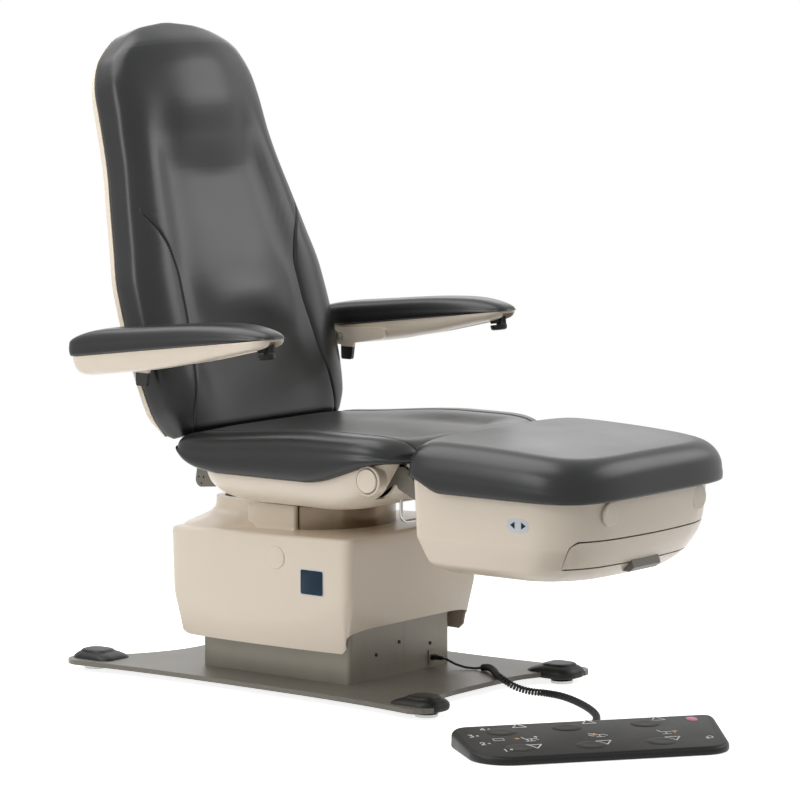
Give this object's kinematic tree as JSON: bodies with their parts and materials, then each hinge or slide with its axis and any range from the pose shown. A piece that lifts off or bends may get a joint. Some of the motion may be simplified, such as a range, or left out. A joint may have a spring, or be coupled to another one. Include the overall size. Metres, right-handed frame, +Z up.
{
  "type": "procedure chair",
  "caption": "Foot-care procedure chair: lift column under a moulded shroud, swivel seat, reclining back, level swing-up arms, tilting leg rest with debris tray, corded foot control.",
  "frame": {"origin": "on the floor, under the swivel axis", "axes": "+Z up, -Y towards the foot end that the patient faces, +X to the seated patient's left"},
  "size_m": [0.8905, 1.4544, 1.2341],
  "materials": {
    "taupe_enamel": "satin stoving enamel",
    "black_moulding": "fine matt grain",
    "overlay": "matt printed membrane",
    "cord_sheath": "satin sheath",
    "beige_moulding": "smooth satin gloss",
    "upholstery": "coated fabric with a soft sheen",
    "bright_steel": "zinc plated or ground",
    "plywood": "raw plywood"
  },
  "bodies": {
    "base": {"base_plate": "taupe_enamel", "foot_covers": "black_moulding", "levelling_feet": "bright_steel", "lower_shroud_left": "taupe_enamel", "lower_shroud_right": "taupe_enamel", "shroud_screws": "black_moulding", "column_outer": "bright_steel", "lift_actuator": "black_moulding", "control_socket": "taupe_enamel", "power_inlet": "black_moulding", "foot_control": "black_moulding", "foot_control_mat": "overlay", "control_cord": "cord_sheath", "cord_plug": "black_moulding", "cord_relief": "black_moulding"},
    "column_stage": {"column_middle": "bright_steel", "lift_spindle": "bright_steel"},
    "sleeve_lower": {"shroud_sleeve_lower": "beige_moulding"},
    "sleeve_upper": {"shroud_sleeve_upper": "beige_moulding"},
    "carriage": {"column_inner": "bright_steel", "lift_rod": "bright_steel", "lift_head": "bright_steel", "upper_shroud": "beige_moulding", "shroud_caps": "beige_moulding", "neck_cover": "beige_moulding", "swivel_turret": "taupe_enamel", "bearing_race": "bright_steel"},
    "seat": {"turntable": "bright_steel", "seat_frame": "taupe_enamel", "seat_pan": "beige_moulding", "pan_caps": "beige_moulding", "seat_board": "plywood", "seat_cushion": "upholstery", "back_hinge_brackets": "taupe_enamel", "hinge_pins": "bright_steel", "drive_units": "black_moulding"},
    "swivel_release": {"swivel_lever": "bright_steel"},
    "back": {"back_frame": "taupe_enamel", "back_shell": "beige_moulding", "back_cushion": "upholstery", "arm_pins": "bright_steel"},
    "arm_level_left": {"arm_carrier_left": "black_moulding"},
    "arm_level_right": {"arm_carrier_right": "black_moulding"},
    "arm_left": {"arm_housing_left": "beige_moulding", "arm_pad_left": "upholstery"},
    "arm_right": {"arm_housing_right": "beige_moulding", "arm_pad_right": "upholstery"},
    "arm_release_left": {"arm_lever_left": "black_moulding"},
    "arm_release_right": {"arm_lever_right": "black_moulding"},
    "leg": {"leg_frame": "taupe_enamel"},
    "leg_slider": {"leg_rails": "bright_steel", "leg_housing": "beige_moulding", "leg_board": "plywood", "leg_cushion": "upholstery", "leg_caps": "beige_moulding"},
    "tray": {"debris_tray": "beige_moulding", "tray_pull": "beige_moulding"}
  },
  "joints": [
    {"name": "lift", "type": "slide", "parent": "base", "child": "carriage", "axis": [0, 0, 1], "range_m": [0, 0.34]},
    {"name": "column_travel", "type": "slide", "parent": "base", "child": "column_stage", "axis": [0, 0, 1], "range_m": [0, 0.17]},
    {"name": "sleeve_lower_travel", "type": "slide", "parent": "base", "child": "sleeve_lower", "axis": [0, 0, 1], "range_m": [0, 0.1134]},
    {"name": "sleeve_upper_travel", "type": "slide", "parent": "base", "child": "sleeve_upper", "axis": [0, 0, 1], "range_m": [0, 0.2267]},
    {"name": "swivel", "type": "hinge", "parent": "carriage", "child": "seat", "pos_m": [0, 0, 0.352], "axis": [0, 0, 1], "range_deg": [-90, 90]},
    {"name": "swivel_release_pull", "type": "hinge", "parent": "seat", "child": "swivel_release", "pos_m": [0, -0.241, 0.38], "axis": [-1, 0, 0], "range_deg": [0, 20], "stiffness_Nm_per_rad": 1, "springref_deg": -17.19},
    {"name": "recline", "type": "hinge", "parent": "seat", "child": "back", "pos_m": [0, 0.1675, 0.443], "axis": [-1, 0, 0], "range_deg": [0, 72]},
    {"name": "arm_level_left_turn", "type": "hinge", "parent": "back", "child": "arm_level_left", "pos_m": [0.304, 0.205, 0.609], "axis": [1, 0, 0], "range_deg": [0, 72]},
    {"name": "arm_level_right_turn", "type": "hinge", "parent": "back", "child": "arm_level_right", "pos_m": [-0.304, 0.205, 0.609], "axis": [1, 0, 0], "range_deg": [0, 72]},
    {"name": "arm_raise_left", "type": "hinge", "parent": "arm_level_left", "child": "arm_left", "pos_m": [0.35, 0.205, 0.609], "axis": [-1, 0, 0], "range_deg": [0, 85]},
    {"name": "arm_raise_right", "type": "hinge", "parent": "arm_level_right", "child": "arm_right", "pos_m": [-0.35, 0.205, 0.609], "axis": [-1, 0, 0], "range_deg": [0, 85]},
    {"name": "arm_release_left_pull", "type": "hinge", "parent": "arm_left", "child": "arm_release_left", "pos_m": [0.35, -0.14357, 0.65621], "axis": [1, 0, 0], "range_deg": [0, 14], "stiffness_Nm_per_rad": 0.2, "springref_deg": -17.19},
    {"name": "arm_release_right_pull", "type": "hinge", "parent": "arm_right", "child": "arm_release_right", "pos_m": [-0.35, -0.14357, 0.65621], "axis": [1, 0, 0], "range_deg": [0, 14], "stiffness_Nm_per_rad": 0.2, "springref_deg": -17.19},
    {"name": "leg_tilt", "type": "hinge", "parent": "seat", "child": "leg", "pos_m": [0, -0.292, 0.42], "axis": [1, 0, 0], "range_deg": [0, 40]},
    {"name": "leg_extend", "type": "slide", "parent": "leg", "child": "leg_slider", "axis": [0, -1, 0], "range_m": [0, 0.19]},
    {"name": "tray_pull_out", "type": "slide", "parent": "leg_slider", "child": "tray", "axis": [0, -1, 0], "range_m": [0, 0.2]}
  ],
  "couplings": [
    {"joint": "column_travel", "follows": "lift", "ratio": 0.5},
    {"joint": "sleeve_lower_travel", "follows": "lift", "ratio": 0.33333},
    {"joint": "sleeve_upper_travel", "follows": "lift", "ratio": 0.66667},
    {"joint": "arm_level_left_turn", "follows": "recline", "ratio": 1},
    {"joint": "arm_level_right_turn", "follows": "recline", "ratio": 1}
  ]
}
